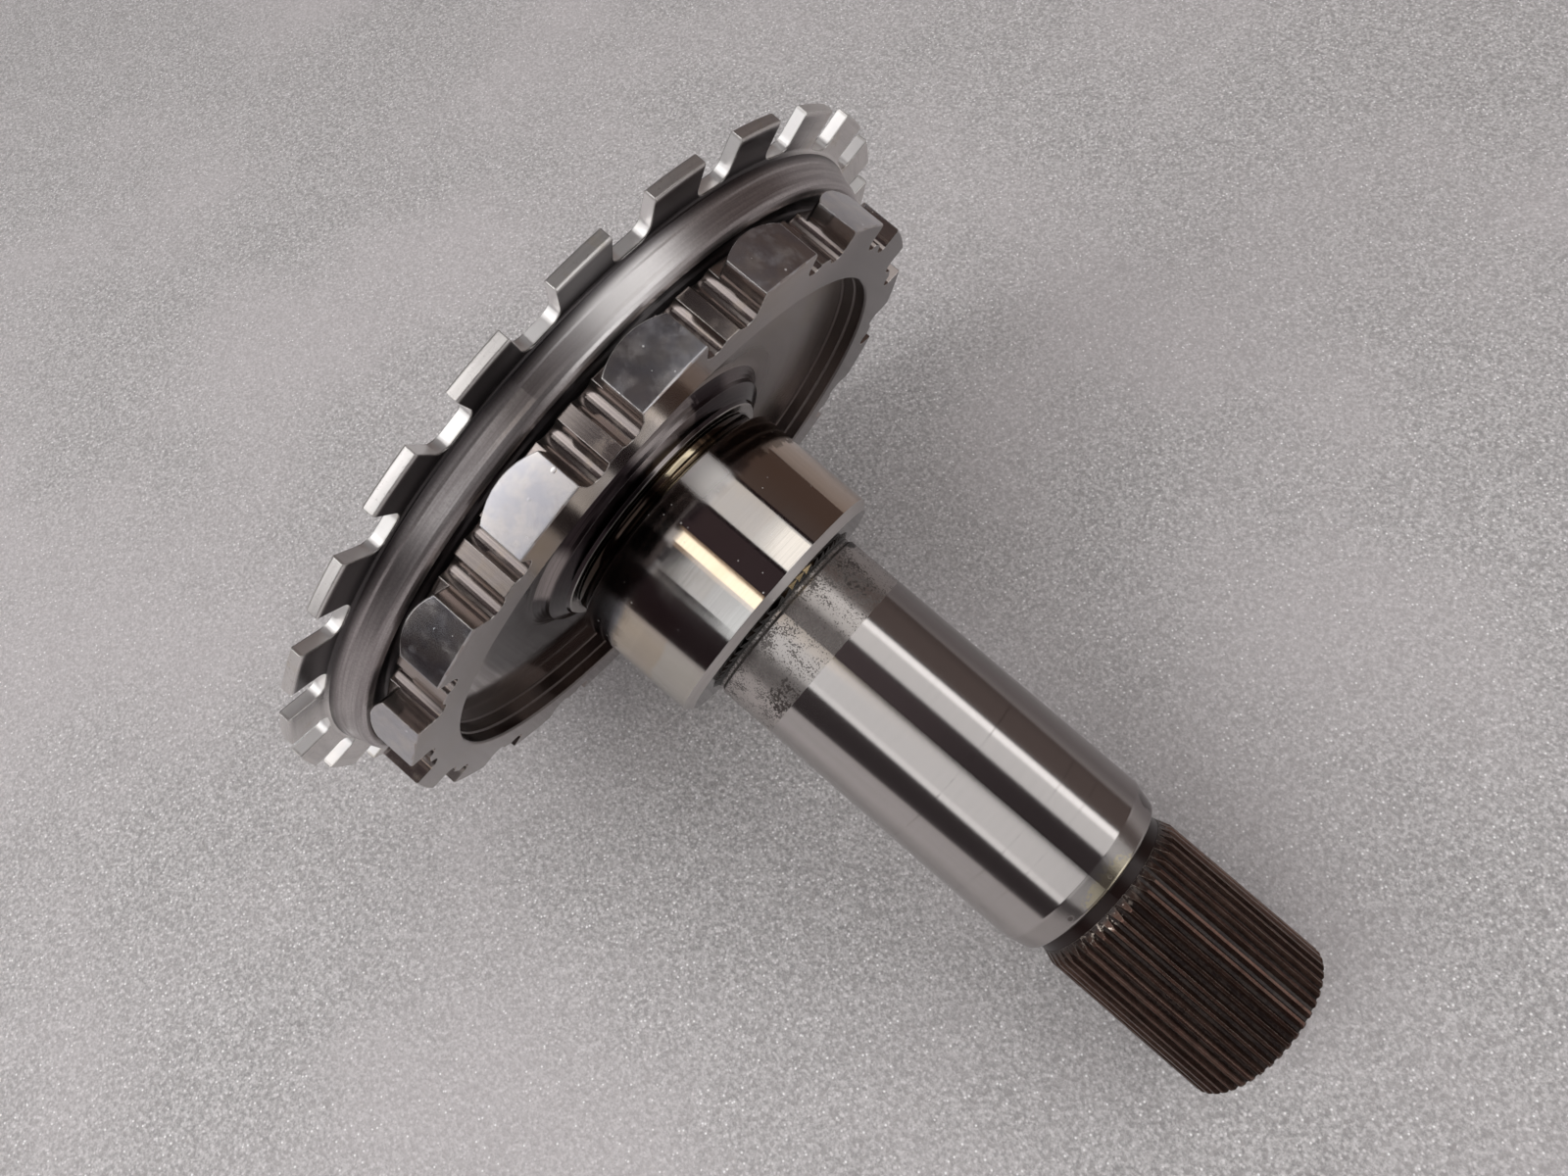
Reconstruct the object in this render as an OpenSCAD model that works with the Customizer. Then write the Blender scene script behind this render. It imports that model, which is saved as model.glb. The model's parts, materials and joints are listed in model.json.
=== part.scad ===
// Output shaft of a car's automatic gearbox: one steel forging, turned and milled all over.
// It stands on its toothed disc, +Z runs up the shaft to the spline end, and all sizes are
// in millimetres. The axis of every turned surface is the Z axis.

/* [Toothed disc] */
// Outside diameter of the disc, over its lugs
disc_d = 179.4; // [160:0.2:200]
// Thickness of the disc at the lugs
disc_t = 2.6; // [2:0.1:6]
// Number of driving lugs round the disc
lug_count = 25; // [15:1:40]
// Height of a lug, from the bottom of a gap to the tip
lug_h = 8.4; // [5:0.1:10]
// Width of a gap between two lugs, at the tip
gap_w = 10.4; // [6:0.1:14]
// How much narrower a gap is near its bottom, on each side
gap_draft = 0.6; // [0:0.1:1.5]
// Radius in the bottom corners of a gap
gap_corner_r = 2.6; // [1:0.1:3]
// Angle of the lug nearest the +X axis
lug_turn = 1.2; // [-7:0.1:7]
// Small bevel on the edges of the disc, teeth and bore
edge_bevel = 0.3; // [0.1:0.05:0.6]

/* [Web shoulder] */
// Height of the round shoulder above the lugs
shoulder_h = 7.1; // [5:0.1:10]
// Step in from the gap bottoms to the side of the shoulder
shoulder_inset = 1.9; // [1.4:0.1:3]
// Radius along the top of the shoulder
shoulder_r = 2.4; // [1.5:0.1:3]
// Fillet where the lugs rise into the shoulder
lug_fillet_r = 0.9; // [0.4:0.1:1.4]

/* [Parking gear] */
// Outside diameter of the parking gear
gear_d = 157.2; // [150:0.2:158]
// Length of a tooth along the shaft, at its middle
gear_w = 11.0; // [8:0.1:16]
// Gap between the shoulder and the back of the gear
gear_gap = 1.5; // [1:0.1:3]
// Number of parking teeth
tooth_count = 16; // [12:1:20]
// Angle of the tooth nearest the +X axis
tooth_turn = 10; // [-11:0.5:11]
// Height of a tooth above the raised land between two teeth
tooth_h = 4.7; // [3:0.1:5]
// Width of a valley at the tooth tips
valley_w = 15.4; // [13.5:0.1:17]
// Width of the raised land in the middle of a valley
land_w = 3.4; // [2:0.1:5]
// Radius of the two root grooves in a valley
root_groove_r = 2.8; // [2:0.1:3]
// Depth of the root grooves below the land
root_groove_depth = 1.6; // [1:0.1:2.4]
// Radius that rounds the back end of each tooth
tooth_back_r = 16; // [12:0.5:30]
// Radius of the clearance groove behind the gear
back_groove_r = 1.5; // [1:0.1:1.8]

/* [Dish in the front] */
// Wall between the root grooves and the dish
ring_wall = 6.7; // [4:0.1:8]
// Bevel where the dish meets the front of the gear
rim_bevel = 0.4; // [0.2:0.1:1]
// Depth of the dish at its wall
dish_depth = 6.4; // [4:0.1:9]
// How much deeper the dish is near the neck
dish_fall = 2.2; // [0:0.1:3]
// Height of the ledge in the dish's wall
ledge_h = 3.5; // [2:0.1:3.8]
// Width of that ledge
ledge_w = 0.4; // [0.2:0.1:1]
// Thickness of the web under the dish
web_t = 6.3; // [5:0.1:8]
// Fillet between the dish and the neck
neck_fillet_r = 4.5; // [2:0.1:5]

/* [Collar and journal] */
// Outside diameter of the thin collar on the neck
collar_d = 61.0; // [56:0.2:66]
// Height of the collar's front edge above the floor of the dish
collar_rise = 5.5; // [5.2:0.1:9]
// Width of the groove between collar and journal
collar_groove_w = 3.9; // [2:0.1:6]
// Depth of that groove below the journal
collar_groove_depth = 2.5; // [1:0.1:4]
// Diameter of the ground bearing journal
journal_d = 61.0; // [56:0.2:66]
// Length of the journal with its bevel
journal_len = 30.4; // [20:0.1:45]
// Bevel at the front of the journal
journal_bevel = 1.7; // [0.5:0.1:3]

/* [Shaft] */
// Diameter of the ground shaft
shaft_d = 43.6; // [41:0.2:50]
// Length from the journal's face to the shoulder before the spline
shaft_len = 87.6; // [60:0.2:140]
// Length of the lead taper at the end of the shaft
lead_len = 5.5; // [2:0.1:10]
// How far the lead taper comes in, on the radius
lead_drop = 1.2; // [0.2:0.05:1.6]
// Radius between the lead taper and the end shoulder
lead_corner_r = 0.9; // [0.3:0.1:1.2]
// Depth of the undercut beside the journal
undercut_depth = 0.5; // [0.2:0.1:1]
// Width of that undercut
undercut_w = 2.4; // [1.5:0.1:4]

/* [Spline] */
// Number of spline teeth
spline_teeth = 46; // [36:1:60]
// Diameter over the tips of the spline teeth
spline_d = 39; // [34:0.1:39.5]
// Height of a spline tooth
spline_tooth_h = 1.1; // [0.8:0.05:1.4]
// Flank angle at half the tooth height, in degrees
flank_angle = 30; // [20:1:37.5]
// Length of the toothed part
spline_len = 42.9; // [25:0.1:70]
// Width of the neck between the shoulder and the teeth
neck_w = 3.2; // [2:0.1:6]
// Depth of that neck below the tooth roots
neck_depth = 0.1; // [0.1:0.1:1.5]
// Length of the ramp on which the teeth rise out of the neck
ramp_len = 3; // [0.5:0.1:6]
// Length of the bevel on the spline's free end
end_bevel_len = 0.5; // [0.2:0.1:3]
// Depth of that bevel, on the radius
end_bevel_h = 0.4; // [0.1:0.1:1]
// Diameter of the lathe centre hole in the end
centre_d = 6.3; // [3:0.1:8]
// Outside diameter of the 60 degree seat of the centre hole
centre_seat_d = 13; // [9:0.5:16]
// Depth of the centre hole
centre_depth = 14; // [10:0.5:20]

/* [Back of the disc] */
// Diameter of the recess behind the web
recess_d = 146; // [135:0.5:148]
// Width of the sloping side of the recess
recess_slope = 9; // [6:0.5:12]
// Diameter of the hub's thrust face
hub_d = 60; // [50:0.5:66]
// How far the thrust face lies behind the disc's back face
hub_set = 1.0; // [0.5:0.1:3]
// Diameter of the pilot bore
pilot_d = 30; // [20:0.5:36]
// Depth of the pilot bore
pilot_depth = 36; // [20:0.5:45]
// Bevels of the hub and pilot bore
hub_bevel = 1; // [0.5:0.1:2]

/* [View] */
// Node to draw

/* [Hidden] */
$fn = 96;
steel = [0.60, 0.59, 0.58];
over = 1;                                    // how far a cutter reaches past what it cuts
arc_steps = 6;                               // straight pieces in a profile arc

// Radii, from the outside in
disc_r = disc_d / 2;
gap_bottom_r = disc_r - lug_h;
side_r = gap_bottom_r - shoulder_inset;      // side of the round shoulder
gear_r = gear_d / 2;
land_r = gear_r - tooth_h;
root_r = land_r - root_groove_depth;         // bottom of the root grooves
back_groove_bottom_r = root_r - 1.1;
dish_r = root_r - ring_wall;
collar_r = collar_d / 2;
journal_r = journal_d / 2;
groove_r = journal_r - collar_groove_depth;
shaft_r = shaft_d / 2;
spline_r = spline_d / 2;
spline_root_r = spline_r - spline_tooth_h;
neck_r = spline_root_r - neck_depth;
recess_r = recess_d / 2;
hub_r = hub_d / 2;
pilot_r = pilot_d / 2;

// Heights, from the disc's back face up
shoulder_z = disc_t + shoulder_h;
gear_back_z = shoulder_z + gear_gap;
gear_front_z = gear_back_z + gear_w;
dish_rim_z = gear_front_z - dish_depth;
dish_z = dish_rim_z - dish_fall;
collar_z = dish_z + collar_rise;
journal_z = collar_z + collar_groove_w;
journal_end_z = journal_z + journal_len;
shaft_end_z = journal_end_z + shaft_len;
spline_z = shaft_end_z + neck_w;
end_z = spline_z + spline_len;
recess_z = dish_z - web_t;

// Points of an arc in a half section, from angle a to angle b
function arc(centre, r, a, b, n = arc_steps) =
    [for (i = [0 : n]) let (t = a + (b - a) * i / n)
        [centre[0] + r * cos(t), centre[1] + r * sin(t)]];

// Back of the part: pilot bore, thrust face, recess and the disc's back face
function back_outline() = concat(
    [[0, pilot_depth], [pilot_r, pilot_depth], [pilot_r, hub_set + hub_bevel],
     [pilot_r + hub_bevel, hub_set], [hub_r - hub_bevel, hub_set],
     [hub_r, hub_set + hub_bevel]],
    arc([hub_r + 2, recess_z - 2], 2, 180, 90),
    arc([recess_r - recess_slope - 4, recess_z - 4], 4, 90, 50),
    [[recess_r, edge_bevel * 2], [recess_r + edge_bevel * 2, 0]]);

// Disc rim, lug face, fillet and the round shoulder of the web
function disc_outline() = concat(
    [[disc_r - edge_bevel, 0], [disc_r, edge_bevel],
     [disc_r, disc_t - edge_bevel], [disc_r - edge_bevel, disc_t]],
    arc([gap_bottom_r + 0.4, disc_t + lug_fillet_r], lug_fillet_r, 270, 190),
    [[side_r + 0.9, disc_t + 2.0], [side_r + 0.6, disc_t + 2.4]],
    arc([side_r - shoulder_r, shoulder_z - shoulder_r], shoulder_r, 0, 105));

// Clearance groove behind the gear, then the gear blank and the wall of the dish
function gear_outline() = concat(
    arc([back_groove_bottom_r + back_groove_r, gear_back_z - 0.6 - back_groove_r],
        back_groove_r, -60, -270, 9),
    [[gear_r, gear_back_z - 0.4], [gear_r, gear_front_z - edge_bevel],
     [gear_r - edge_bevel, gear_front_z], [dish_r + rim_bevel, gear_front_z],
     [dish_r, gear_front_z - rim_bevel], [dish_r, dish_rim_z + ledge_h],
     [dish_r - ledge_w, dish_rim_z + ledge_h - 0.3],
     [dish_r - ledge_w, dish_rim_z + 0.4], [dish_r - ledge_w - 0.4, dish_rim_z]]);

// Floor of the dish, the neck, the collar and the groove before the journal
function neck_outline() = concat(
    [[dish_r - 16, dish_rim_z - dish_fall * 0.6]],
    arc([collar_r + 3.6 + neck_fillet_r, dish_z + neck_fillet_r], neck_fillet_r, 270, 200),
    [[collar_r + 0.5, collar_z - 0.9], [collar_r, collar_z - 0.2],
     [collar_r - 0.3, collar_z], [groove_r + 0.5, collar_z],
     [groove_r, collar_z + 0.5], [groove_r, journal_z - 0.5],
     [groove_r + 0.5, journal_z], [journal_r - edge_bevel, journal_z],
     [journal_r, journal_z + edge_bevel]]);

// Journal, undercut, shaft, lead taper and the neck before the spline
function shaft_outline() = concat(
    [[journal_r, journal_end_z - journal_bevel],
     [journal_r - journal_bevel, journal_end_z],
     [shaft_r + 0.8, journal_end_z], [shaft_r - undercut_depth, journal_end_z + 0.6],
     [shaft_r - undercut_depth, journal_end_z + undercut_w - 0.6],
     [shaft_r, journal_end_z + undercut_w], [shaft_r, shaft_end_z - lead_len]],
    arc([shaft_r - lead_drop - lead_corner_r, shaft_end_z - lead_corner_r],
        lead_corner_r, 10, 90, 4),
    [[neck_r + 0.6, shaft_end_z], [neck_r, shaft_end_z + 0.6],
     [neck_r, spline_z + over], [0, spline_z + over]]);

// Everything that comes off the lathe, except the spline
module turned_body() {
    rotate_extrude()
        polygon(concat(back_outline(), disc_outline(), gear_outline(),
            neck_outline(), shaft_outline()));
}

// One gap between two lugs, on the +X side
module lug_gap() {
    half = gap_w / 2;
    low_half = half - gap_draft;
    corner_x = gap_bottom_r + gap_corner_r;
    translate([0, 0, -over])
        linear_extrude(disc_t + 2 * over + 0.8) {
            polygon([[corner_x, -low_half], [disc_r + over, -half],
                [disc_r + over, half], [corner_x, low_half]]);
            translate([gap_bottom_r, gap_corner_r - low_half])
                square([gap_corner_r + 0.1, 2 * (low_half - gap_corner_r)]);
            for (side = [-1, 1])
                translate([corner_x, side * (low_half - gap_corner_r)])
                    circle(gap_corner_r);
        }
}

// One valley between two parking teeth, on the +X side: flanks, land and root grooves
module tooth_valley() {
    half = valley_w / 2;
    groove_x = root_r + root_groove_r;
    groove_y = land_w / 2 + sqrt(pow(root_groove_r, 2)
        - pow(root_groove_r - root_groove_depth, 2));
    back = gear_back_z - gear_gap / 2;
    translate([0, 0, back])
        linear_extrude(gear_front_z - back + over) {
            polygon([[land_r, -land_w / 2], [land_r, -groove_y],
                [groove_x, -groove_y - root_groove_r], [gear_r, -half],
                [gear_r + over, -half], [gear_r + over, half], [gear_r, half],
                [groove_x, groove_y + root_groove_r], [land_r, groove_y],
                [land_r, land_w / 2]]);
            for (side = [-1, 1])
                translate([groove_x, side * groove_y]) circle(root_groove_r);
        }
}

// What is taken off the back end of one tooth, so that it ends in an arc
module tooth_back_cut() {
    half = PI * gear_r / tooth_count - valley_w / 2 + 0.3;
    drop = tooth_back_r - sqrt(pow(tooth_back_r, 2) - pow(half, 2));
    low = (shoulder_z + gear_back_z - 0.4) / 2;
    difference() {
        translate([land_r, -half - 0.5, low])
            cube([tooth_h + over, 2 * half + 1, gear_back_z + drop - low]);
        translate([land_r - over, 0, gear_back_z + tooth_back_r])
            rotate([0, 90, 0]) cylinder(r = tooth_back_r, h = tooth_h + 3 * over);
    }
}

// Half the angle that a spline tooth takes up at radius r, on an involute flank
function involute(a) = tan(a) * 180 / PI - a;
pitch_r = spline_r - spline_tooth_h / 2;
base_r = pitch_r * cos(flank_angle);
function half_tooth(r) =
    90 / spline_teeth + involute(flank_angle) - involute(acos(base_r / r));

// Outline of the splined end, with two straight pieces to each flank
module spline_outline() {
    steps = [spline_root_r, pitch_r, spline_r + 0.2];
    polygon([for (i = [0 : spline_teeth - 1], k = [0 : 5])
        let (r = steps[k < 3 ? k : 5 - k], side = k < 3 ? -1 : 1,
            a = 360 * i / spline_teeth + side * half_tooth(r))
        [r * cos(a), r * sin(a)]]);
}

// The splined end, bevelled at both ends of the teeth
module spline() {
    intersection() {
        translate([0, 0, spline_z - over])
            linear_extrude(spline_len + over) spline_outline();
        rotate_extrude()
            polygon([[0, spline_z - over], [neck_r - 0.5, spline_z - over],
                [neck_r - 0.5, spline_z], [spline_root_r, spline_z],
                [spline_r, spline_z + ramp_len], [spline_r, end_z - end_bevel_len],
                [spline_r - end_bevel_h, end_z], [0, end_z]]);
    }
}

// Lathe centre hole in the splined end
module centre_hole() {
    seat_h = (centre_seat_d - centre_d) / 2 / tan(30);
    translate([0, 0, end_z - centre_depth]) cylinder(d = centre_d, h = centre_depth);
    translate([0, 0, end_z - seat_h])
        cylinder(d1 = centre_d, d2 = centre_seat_d, h = seat_h);
    translate([0, 0, end_z]) cylinder(d = centre_seat_d, h = over);
}

module output_shaft() {
    color(steel) difference() {
        union() {
            turned_body();
            spline();
        }
        for (i = [0 : lug_count - 1])
            rotate(lug_turn + (i + 0.5) * 360 / lug_count) lug_gap();
        for (i = [0 : tooth_count - 1])
            rotate(tooth_turn + i * 360 / tooth_count) {
                tooth_back_cut();
                rotate(180 / tooth_count) tooth_valley();
            }
        centre_hole();
    }
}

output_shaft();
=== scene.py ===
"""Looks of a gearbox output shaft: one turned and milled steel forging with ground seats.

The shaft stands on its toothed disc, +Z runs up to the splined end, and lengths are in
metres. The sheet it lies against touches the disc's rim and the splined end from the far
side.
"""

import json
import math

import bpy
from bpy.props import FloatProperty, FloatVectorProperty, PointerProperty
from mathutils import Matrix, Quaternion, Vector


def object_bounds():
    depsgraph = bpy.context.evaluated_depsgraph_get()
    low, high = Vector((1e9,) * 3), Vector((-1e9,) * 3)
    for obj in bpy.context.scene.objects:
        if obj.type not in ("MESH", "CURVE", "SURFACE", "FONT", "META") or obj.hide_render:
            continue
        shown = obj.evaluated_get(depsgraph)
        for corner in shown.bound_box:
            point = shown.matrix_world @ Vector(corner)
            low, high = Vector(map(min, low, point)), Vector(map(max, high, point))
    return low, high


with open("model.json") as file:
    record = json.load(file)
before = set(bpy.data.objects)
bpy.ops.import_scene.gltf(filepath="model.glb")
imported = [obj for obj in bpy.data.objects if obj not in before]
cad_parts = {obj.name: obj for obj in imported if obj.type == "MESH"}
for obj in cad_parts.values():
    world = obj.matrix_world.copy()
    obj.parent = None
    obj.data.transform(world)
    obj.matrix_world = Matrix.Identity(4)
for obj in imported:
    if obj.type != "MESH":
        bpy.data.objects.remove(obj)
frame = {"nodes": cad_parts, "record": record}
CAD_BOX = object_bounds()

bl_info = {
    "name": "Gearbox Output Shaft Finish",
    "version": (1, 0, 0),
    "blender": (4, 5, 0),
    "location": "View3D > Sidebar > Shaft",
    "description": "Steel finishes, wear and a stage for a gearbox output shaft",
    "category": "Material",
}

MM = 0.001
SHAFT = frame["nodes"]["output_shaft"]
MOUNTS = {m["name"]: m for m in frame["record"]["mounts"]}


def seat_span(name):
    """Lowest and highest height of a round seat."""
    middle = MOUNTS[name]["pos_m"][2]
    half = MOUNTS[name]["dims"]["length_mm"] * MM / 2
    return middle - half, middle + half


def seat_radius(name):
    return MOUNTS[name]["dims"]["r_mm"] * MM


JOURNAL_LOW, JOURNAL_HIGH = seat_span("bearing_journal")
SEAT_LOW, SEAT_HIGH = seat_span("shaft_seat")
DISC_RADIUS = CAD_BOX[1].x
END_HEIGHT = CAD_BOX[1].z


# Settings


class ShaftSizes(bpy.types.PropertyGroup):
    """Where one finish ends and the next one starts."""

    lug_front: FloatProperty(
        name="Lug face", description="Height of the lugs' front face",
        default=2.6 * MM, unit="LENGTH")
    gap_bottom: FloatProperty(
        name="Gap bottom", description="Radius at the bottom of the gaps between lugs",
        default=81.3 * MM, unit="LENGTH")
    recess_radius: FloatProperty(
        name="Recess radius", description="Radius of the recess in the back",
        default=73.7 * MM, unit="LENGTH")
    recess_floor: FloatProperty(
        name="Recess floor", description="Height of the recess floor",
        default=7.4 * MM, unit="LENGTH")
    gear_radius: FloatProperty(
        name="Gear radius", description="Radius over the parking teeth",
        default=78.6 * MM, unit="LENGTH")
    gear_back: FloatProperty(
        name="Gear back", description="Height of the back of the parking gear",
        default=10.8 * MM, unit="LENGTH")
    gear_front: FloatProperty(
        name="Gear front", description="Height of the front of the parking gear",
        default=22.2 * MM, unit="LENGTH")
    dish_radius: FloatProperty(
        name="Dish radius", description="Radius of the dish's wall",
        default=65.6 * MM, unit="LENGTH")
    dish_floor: FloatProperty(
        name="Dish floor", description="Height of the dish floor at its wall",
        default=15.8 * MM, unit="LENGTH")
    collar_height: FloatProperty(
        name="Collar", description="Height of the collar's front edge",
        default=19.1 * MM, unit="LENGTH")
    fret_length: FloatProperty(
        name="Fretted band", description="Height at which the fretted band ends",
        default=69.3 * MM, unit="LENGTH")
    shaft_end: FloatProperty(
        name="Shaft end", description="Height of the shoulder before the spline",
        default=141.0 * MM, unit="LENGTH")
    spline_start: FloatProperty(
        name="Spline start", description="Height at which the spline teeth start",
        default=144.2 * MM, unit="LENGTH")
    spline_radius: FloatProperty(
        name="Spline radius", description="Radius over the spline teeth",
        default=19.5 * MM, unit="LENGTH")


class ShaftColours(bpy.types.PropertyGroup):
    """The colours that the finishes are mixed from."""

    steel: FloatVectorProperty(
        name="Bright steel", description="Ground and polished steel",
        subtype="COLOR", default=(0.55, 0.52, 0.505))
    dull_steel: FloatVectorProperty(
        name="Dull steel", description="Steel that handling and oil have dulled",
        subtype="COLOR", default=(0.30, 0.285, 0.275))
    varnish: FloatVectorProperty(
        name="Oil varnish", description="Yellow film of baked oil",
        subtype="COLOR", default=(0.60, 0.50, 0.33))
    oxide: FloatVectorProperty(
        name="Dark oxide", description="Brown-black oxide on the spline",
        subtype="COLOR", default=(0.048, 0.027, 0.021))
    # Black of dirty oil, used also for painted shade in inner corners and in the undercut
    grime_and_shade: FloatVectorProperty(
        name="Grime", description="Black oil dirt in corners and grooves",
        subtype="COLOR", default=(0.012, 0.010, 0.009))
    sheet: FloatVectorProperty(
        name="Sheet", description="Pale sheet under the shaft",
        subtype="COLOR", default=(0.50, 0.483, 0.484))


def sizes():
    return bpy.context.scene.shaft_sizes


def colours():
    return bpy.context.scene.shaft_colours


# Node helpers


def feed(tree, socket, value):
    """Links value to the socket if it is a socket, and sets it otherwise."""
    if isinstance(value, bpy.types.NodeSocket):
        tree.links.new(value, socket)
    elif socket.type == "RGBA" and len(value) == 3:
        socket.default_value = (*value, 1)
    else:
        socket.default_value = value


def add(tree, kind, inputs=None, **settings):
    node = tree.nodes.new("ShaderNode" + kind)
    for key, value in settings.items():
        setattr(node, key, value)
    for key, value in (inputs or {}).items():
        feed(tree, node.inputs[key], value)
    return node


def empty_tree(owner):
    """The node tree of a material or a world, with nothing in it."""
    owner.use_nodes = True
    owner.node_tree.nodes.clear()
    return owner.node_tree


def calc(tree, operation, *values, clamp=False):
    node = add(tree, "Math", operation=operation, use_clamp=clamp)
    for socket, value in zip(node.inputs, values):
        feed(tree, socket, value)
    return node.outputs[0]


def times(tree, first, second):
    return calc(tree, "MULTIPLY", first, second)


def plus(tree, first, second):
    return calc(tree, "ADD", first, second)


def minus(tree, first, second):
    return calc(tree, "SUBTRACT", first, second)


def most(tree, first, second):
    return calc(tree, "MAXIMUM", first, second)


def size_of(tree, value):
    return calc(tree, "ABSOLUTE", value)


def apart(tree, value, middle):
    """How far the value is from the middle, either way."""
    return size_of(tree, minus(tree, value, middle))


def fade(tree, value, start, end, low=0.0, high=1.0):
    """Goes smoothly from low to high while value goes from start to end."""
    node = add(tree, "MapRange", {"Value": value, "From Min": start, "From Max": end,
                                  "To Min": low, "To Max": high},
               interpolation_type="SMOOTHSTEP")
    return node.outputs["Result"]


def mix(tree, share, first, second):
    """Mixes two colours, or two numbers where the first is a number."""
    plain = isinstance(first, (int, float))
    if isinstance(first, bpy.types.NodeSocket):
        plain = first.type == "VALUE"
    node = add(tree, "Mix", data_type="FLOAT" if plain else "RGBA")
    at = (0, 2, 3) if plain else (0, 6, 7)
    for index, value in zip(at, (share, first, second)):
        feed(tree, node.inputs[index], value)
    return node.outputs[0 if plain else 2]


def scaled(tree, vector, factor):
    node = add(tree, "VectorMath", {0: vector}, operation="SCALE")
    feed(tree, node.inputs["Scale"], factor)
    return node.outputs[0]


def measured(tree, vector, unit):
    """The vector counted in the unit."""
    return scaled(tree, vector, calc(tree, "DIVIDE", 1.0, unit))


def noise(tree, vector, scale, detail=3.0, rough=0.5, distortion=0.0):
    node = add(tree, "TexNoise", {"Vector": vector, "Scale": scale, "Detail": detail,
                                  "Roughness": rough, "Distortion": distortion})
    return node.outputs[0]


VECTORS = ("Around", "Place", "Rounded")    # group sockets that aren't plain numbers


def new_group(name, inputs, outputs):
    """A shader node group with the named sockets."""
    tree = bpy.data.node_groups.new(name, "ShaderNodeTree")
    for direction, labels in (("INPUT", inputs), ("OUTPUT", outputs)):
        for label in labels:
            kind = "NodeSocketVector" if label in VECTORS else "NodeSocketFloat"
            tree.interface.new_socket(label, in_out=direction, socket_type=kind)
    source = tree.nodes.new("NodeGroupInput").outputs
    target = tree.nodes.new("NodeGroupOutput").inputs
    return tree, source, target


def use(tree, group_name, **inputs):
    """Places a node group; an underscore in an input's name stands for a space."""
    node = add(tree, "Group", node_tree=bpy.data.node_groups[group_name])
    for key, value in inputs.items():
        feed(tree, node.inputs[key.replace("_", " ")], value)
    return node.outputs


# Shared effects


def lathe_position_group():
    """Radius, height and turning direction of a point, in millimetres."""
    tree, _, out = new_group("Lathe Position", (),
                             ("Radius", "Height", "Along", "Angle", "Around", "Place"))
    place = scaled(tree, add(tree, "TexCoord").outputs["Object"], 1 / MM)
    xyz = add(tree, "SeparateXYZ", {0: place}).outputs
    flat = add(tree, "CombineXYZ", {0: xyz[0], 1: xyz[1]}).outputs[0]
    radius = add(tree, "VectorMath", {0: flat}, operation="LENGTH").outputs["Value"]
    around = add(tree, "VectorMath", {0: flat}, operation="NORMALIZE").outputs[0]
    normal = add(tree, "SeparateXYZ", {0: add(tree, "NewGeometry").outputs["True Normal"]})
    faces_end = calc(tree, "GREATER_THAN", size_of(tree, normal.outputs[2]), 0.75)
    feed(tree, out["Radius"], radius)
    feed(tree, out["Height"], xyz[2])
    feed(tree, out["Along"], mix(tree, faces_end, xyz[2], radius))
    feed(tree, out["Angle"], calc(tree, "DEGREES", calc(tree, "ARCTAN2", xyz[1], xyz[0])))
    feed(tree, out["Around"], around)
    feed(tree, out["Place"], place)


def turning_lines_group():
    """Fine lines that a lathe or a grinding wheel leaves, and broader shades between."""
    tree, given, out = new_group("Turning Lines", ("Along", "Around", "Density", "Drift"),
                                 ("Lines", "Shades"))
    ring = scaled(tree, given["Around"], given["Drift"])
    for label, share in (("Lines", 1.0), ("Shades", 0.12)):
        step = times(tree, times(tree, given["Along"], given["Density"]), share)
        lift = add(tree, "CombineXYZ", {2: step}).outputs[0]
        vector = add(tree, "VectorMath", {0: ring, 1: lift}, operation="ADD").outputs[0]
        feed(tree, out[label], noise(tree, vector, 1.0, detail=3.0, rough=0.65))


def edge_wear_group():
    """Mask of outer edges that handling has rubbed bright, and a rounding normal."""
    tree, given, out = new_group("Edge Wear", ("Width", "Place"), ("Mask", "Rounded"))
    bevel = add(tree, "Bevel", {"Radius": given["Width"]}, samples=6)
    true = add(tree, "NewGeometry").outputs["Normal"]
    same = add(tree, "VectorMath", {0: bevel.outputs[0], 1: true},
               operation="DOT_PRODUCT").outputs["Value"]
    feed(tree, out["Rounded"], bevel.outputs[0])
    bent = fade(tree, minus(tree, 1.0, same), 0.02, 0.12)
    shade = add(tree, "AmbientOcclusion", {"Distance": 1.2 * MM}, samples=6)
    outer = fade(tree, shade.outputs["AO"], 0.72, 0.95)
    broken = fade(tree, noise(tree, given["Place"], 0.9, detail=4.0), 0.30, 0.62, 0.35, 1.0)
    feed(tree, out["Mask"], times(tree, times(tree, bent, outer), broken))


def corner_grime_and_shade_group():
    """Mask of inner corners and grooves, from how closed in they are: dirty oil and painted
    shade.
    """
    tree, given, out = new_group("Corner Grime And Shade", ("Reach", "Place"), ("Mask",))
    shade = add(tree, "AmbientOcclusion", {"Distance": given["Reach"]}, samples=8)
    closed = minus(tree, 1.0, shade.outputs["AO"])
    rough = noise(tree, given["Place"], 0.5, detail=4.0)
    uneven = times(tree, minus(tree, rough, 0.5), 0.5)
    feed(tree, out["Mask"], fade(tree, plus(tree, closed, uneven), 0.35, 0.75))


def stains_group():
    """Mask of soft blotches, as dried oil leaves them."""
    tree, given, out = new_group("Oil Stains", ("Place", "Size", "Cover"), ("Mask",))
    field = noise(tree, measured(tree, given["Place"], given["Size"]), 1.0, detail=5.0,
                  rough=0.62, distortion=0.4)
    start = minus(tree, 0.78, times(tree, given["Cover"], 0.5))
    feed(tree, out["Mask"], fade(tree, field, start, plus(tree, start, 0.22)))


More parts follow.
